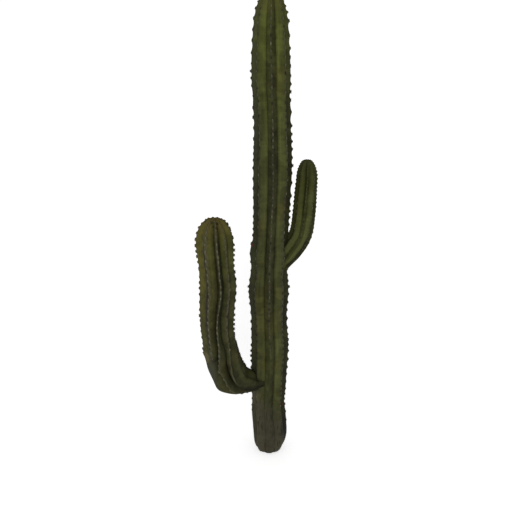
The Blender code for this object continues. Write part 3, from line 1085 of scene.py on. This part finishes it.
def felt_material(name, colour):
    """Short matted felt."""
    made, lay, shader = new_material(name)
    body = lay.body()
    fleck = lay.noise(body, 420.0, 3.0, 0.7)
    tuft = lay.noise(body, 95.0, 2.0, 0.5)
    dark, light = (tuple(factor * c for c in colour) for factor in (0.45, 1.35))
    tone = lay.plus(lay.times(fleck, 0.6), lay.times(tuft, 0.5))
    bump = lay.put("ShaderNodeBump", {"Height": fleck, "Strength": 0.8, "Distance": 0.002})
    lay.fill(shader, {"Base Color": lay.mix(lay.fade(tone, 0.32, 0.75), dark, light),
                      "Normal": bump.outputs[0], "Roughness": 0.95, "Specular IOR Level": 0.1})
    return made


def spine_material(name, colour, dark):
    """Dry spines, uneven in colour along their length."""
    made, lay, shader = new_material(name)
    fleck = lay.noise(lay.body(), 260.0, 2.0, 0.5)
    lay.fill(shader, {"Base Color": lay.mix(lay.fade(fleck, 0.35, 0.65), dark, colour),
                      "Roughness": lay.fade(fleck, 0.3, 0.7, 0.5, 0.7)})
    return made


# ------------------------ operators

def add_skin(body, nodes, young, old, **more):
    """The skin of a limb, in place of its solids."""
    name = f"{body.label}_skin"
    made = skin_material(name.replace("_", " "), young, old, **more)
    add_piece(name, skin_mesh(name, body, settings()[0]), made, nodes)


class SAGUARO_OT_trunk(Operator):
    """Skin of the trunk, from the flat cut at the ground to its tip"""
    bl_idname = "saguaro.trunk"
    bl_label = "Trunk skin"

    def execute(self, context):
        colours = settings()[2]
        # the trunk's Bleached colour is a cool grey: painted shade on its left side
        add_skin(limbs()[0], ("trunk",), colours.trunk_young, colours.trunk_old,
                 cork=colours.cork, Tip=(0.0781, 0.0767, 0.0213), Scab=(0.0994, 0.0312, 0.0227),
                 Bleached=(0.0360, 0.0385, 0.0225), Hollow=0.05, Patchy=0.16)
        return {"FINISHED"}


class SAGUARO_OT_large_arm(Operator):
    """Skin of the large arm, from its neck in the trunk to its tip"""
    bl_idname = "saguaro.large_arm"
    bl_label = "Large arm skin"

    def execute(self, context):
        colours = settings()[2]
        add_skin(limbs()[1], ("large_arm_elbow", "large_arm_upright"), colours.large_young,
                 colours.large_old, Tip=(0.1150, 0.0880, 0.0250), Scab=(0.0900, 0.0790, 0.0400),
                 Bleached=(0.0885, 0.0795, 0.0168), Olive=(0.0470, 0.0445, 0.0136), Patchy=0.18)
        return {"FINISHED"}


class SAGUARO_OT_small_arm(Operator):
    """Skin of the small arm, from its root in the trunk to its tip"""
    bl_idname = "saguaro.small_arm"
    bl_label = "Small arm skin"

    def execute(self, context):
        colours = settings()[2]
        add_skin(limbs()[2], ("small_arm_elbow", "small_arm_upright"), colours.small_young,
                 colours.small_old, Tip=(0.0511, 0.0525, 0.0185), Scab=(0.0994, 0.0312, 0.0227),
                 Crest=(0.0390, 0.0395, 0.0120), Weathered=(0.0290, 0.0325, 0.0045),
                 Olive=(0.0380, 0.0398, 0.0060), Ridge=0.6, Hollow=0.20, Patchy=0.05)
        return {"FINISHED"}


class SAGUARO_OT_cushions(Operator):
    """Felt cushions along every crest"""
    bl_idname = "saguaro.cushions"
    bl_label = "Felt cushions"

    def execute(self, context):
        skin, cushions, colours, _ = settings()
        shapes = cushion_templates(cushions, count=6, seed=5)
        felt = tuple(colours.felt)
        felts = dict(grey=felt_material("grey felt", felt),
                     pale=felt_material("pale felt", tuple(1.45 * c for c in felt)),
                     brown=felt_material("brown felt", (0.28 * felt[0], 0.24 * felt[1],
                                                        0.26 * felt[2])))
        for body in limbs():
            places = cushion_places(body, skin)
            if not len(places["size"]):
                raise RuntimeError(f"no cushion found a place on {body.label}")
            brown = places["dark"]
            # pale felt is a lighter copy of the grey felt: painted light on the sunny ribs, a random
            # paler cushion elsewhere
            pale = ~brown & (np.isin(places["rib"], body.sunny) | (places["chance"] > 1 - PALE_CHANCE))
            for kind, pick in (("grey", ~brown & ~pale), ("pale", pale), ("brown", brown)):
                name = f"{body.label}_cushions_{kind}"
                mesh = repeat(name, shapes, places, pick, body.cushion_grow, body.seed)
                mesh.shade_smooth()
                add_piece(name, mesh, felts[kind])
        return {"FINISHED"}


class SAGUARO_OT_spines(Operator):
    """Spines in rosettes on the cushions"""
    bl_idname = "saguaro.spines"
    bl_label = "Spines"

    def execute(self, context):
        skin, cushions, _, _ = settings()
        rosettes = spine_templates(cushions, count=8, seed=6)
        grey = spine_material("grey spines", (0.1349, 0.1193, 0.0852), (0.0568, 0.0483, 0.0341))
        brown = spine_material("brown spines", (0.0426, 0.0298, 0.0199), (0.0199, 0.0142, 0.0099))
        for body in limbs():
            places = cushion_places(body, skin)
            dark = places["dark"]
            for kind, made, pick in (("grey", grey, ~dark), ("brown", brown, dark)):
                name = f"{body.label}_spines_{kind}"
                mesh = repeat(name, rosettes, places, pick, body.spine_grow, body.seed + 9)
                add_piece(name, mesh, made)
        return {"FINISHED"}


class SAGUARO_OT_studio(Operator):
    """Pale floor, soft light and the camera"""
    bl_idname = "saguaro.studio"
    bl_label = "Studio"

    def execute(self, context):
        studio = settings()[3]
        scene = context.scene

        bm = bmesh.new()
        bmesh.ops.create_circle(bm, cap_ends=True, segments=96, radius=FLOOR_RADIUS)
        bmesh.ops.translate(bm, verts=bm.verts, vec=(0, 0, -FLOOR_DROP))
        mesh = bpy.data.meshes.new("studio_floor")
        bm.to_mesh(mesh)
        bm.free()
        pale, lay, shader = new_material("pale floor")
        mottle = lay.noise(lay.body(), 2.0, 3.0, 0.5)
        lay.fill(shader, {"Base Color": lay.mix(mottle, (0.93, 0.93, 0.93), (0.95, 0.95, 0.95)),
                          "Roughness": 0.95, "Specular IOR Level": 0.0,
                          "Emission Color": (1.0, 1.0, 1.0), "Emission Strength": studio.glow})
        mesh.materials.append(pale)
        floor = new_object("studio_floor", mesh)

        # the room lights the plant less than the camera sees of it
        world = bpy.data.worlds.new("studio room")
        world.use_nodes = True
        room = Layout(world.node_tree)
        light, wall = [room.put("ShaderNodeBackground", {"Color": (1.0, 1.0, 1.0), "Strength": level})
                       for level in (studio.sky, WALL_BRIGHTNESS)]
        seen = room.put("ShaderNodeLightPath").outputs["Is Camera Ray"]
        both = room.put("ShaderNodeMixShader", {0: seen, 1: light.outputs[0], 2: wall.outputs[0]})
        room.fill(world.node_tree.nodes["World Output"], {"Surface": both.outputs[0]})
        scene.world = world

        ahead = Vector((0.0, math.cos(studio.tilt), -math.sin(studio.tilt)))
        sun = bpy.data.lights.new("key", "SUN")
        sun.energy = studio.key
        sun.angle = SUN_ANGLE
        lens = bpy.data.cameras.new("camera")
        lens.sensor_fit = "AUTO"
        lens.angle = studio.view
        key, camera = new_object("key", sun), new_object("camera", lens)
        key.location = -ahead * SUN_DISTANCE
        camera.location = CAMERA_TARGET - ahead * studio.distance
        for item in (key, camera):
            item.rotation_euler = ahead.to_track_quat("-Z", "Y").to_euler()
        scene.camera = camera
        scene.view_settings.view_transform = "Standard"
        return {"FINISHED"}


class SAGUARO_PT_panel(Panel):
    """Lists the plant's pieces in the sidebar"""
    bl_idname = "SAGUARO_PT_panel"
    bl_label = "Saguaro"
    bl_space_type = "VIEW_3D"
    bl_region_type = "UI"
    bl_category = "Saguaro"

    def draw(self, context):
        for holder in ("saguaro_skin", "saguaro_cushions", "saguaro_colours", "saguaro_studio"):
            group = getattr(context.scene, holder)
            box = self.layout.box()
            for key in group.bl_rna.properties.keys():
                if key not in ("rna_type", "name"):
                    box.prop(group, key)
        for operator in OPERATORS:
            self.layout.operator(operator.bl_idname)


OPERATORS = (SAGUARO_OT_trunk, SAGUARO_OT_large_arm, SAGUARO_OT_small_arm, SAGUARO_OT_cushions,
             SAGUARO_OT_spines, SAGUARO_OT_studio)
GROUPS = {"saguaro_skin": SkinSettings, "saguaro_cushions": CushionSettings,
          "saguaro_colours": ColourSettings, "saguaro_studio": StudioSettings}


def register():
    for holder, group in GROUPS.items():
        bpy.utils.register_class(group)
        setattr(bpy.types.Scene, holder, PointerProperty(type=group))
    for operator in OPERATORS:
        bpy.utils.register_class(operator)
    bpy.utils.register_class(SAGUARO_PT_panel)


def unregister():
    bpy.utils.unregister_class(SAGUARO_PT_panel)
    for operator in reversed(OPERATORS):
        bpy.utils.unregister_class(operator)
    for holder, group in GROUPS.items():
        delattr(bpy.types.Scene, holder)
        bpy.utils.unregister_class(group)


def main():
    register()
    bpy.ops.saguaro.trunk()
    bpy.ops.saguaro.large_arm()
    bpy.ops.saguaro.small_arm()
    bpy.ops.saguaro.cushions()
    bpy.ops.saguaro.spines()
    bpy.ops.saguaro.studio()


if __name__ == "__main__":
    main()
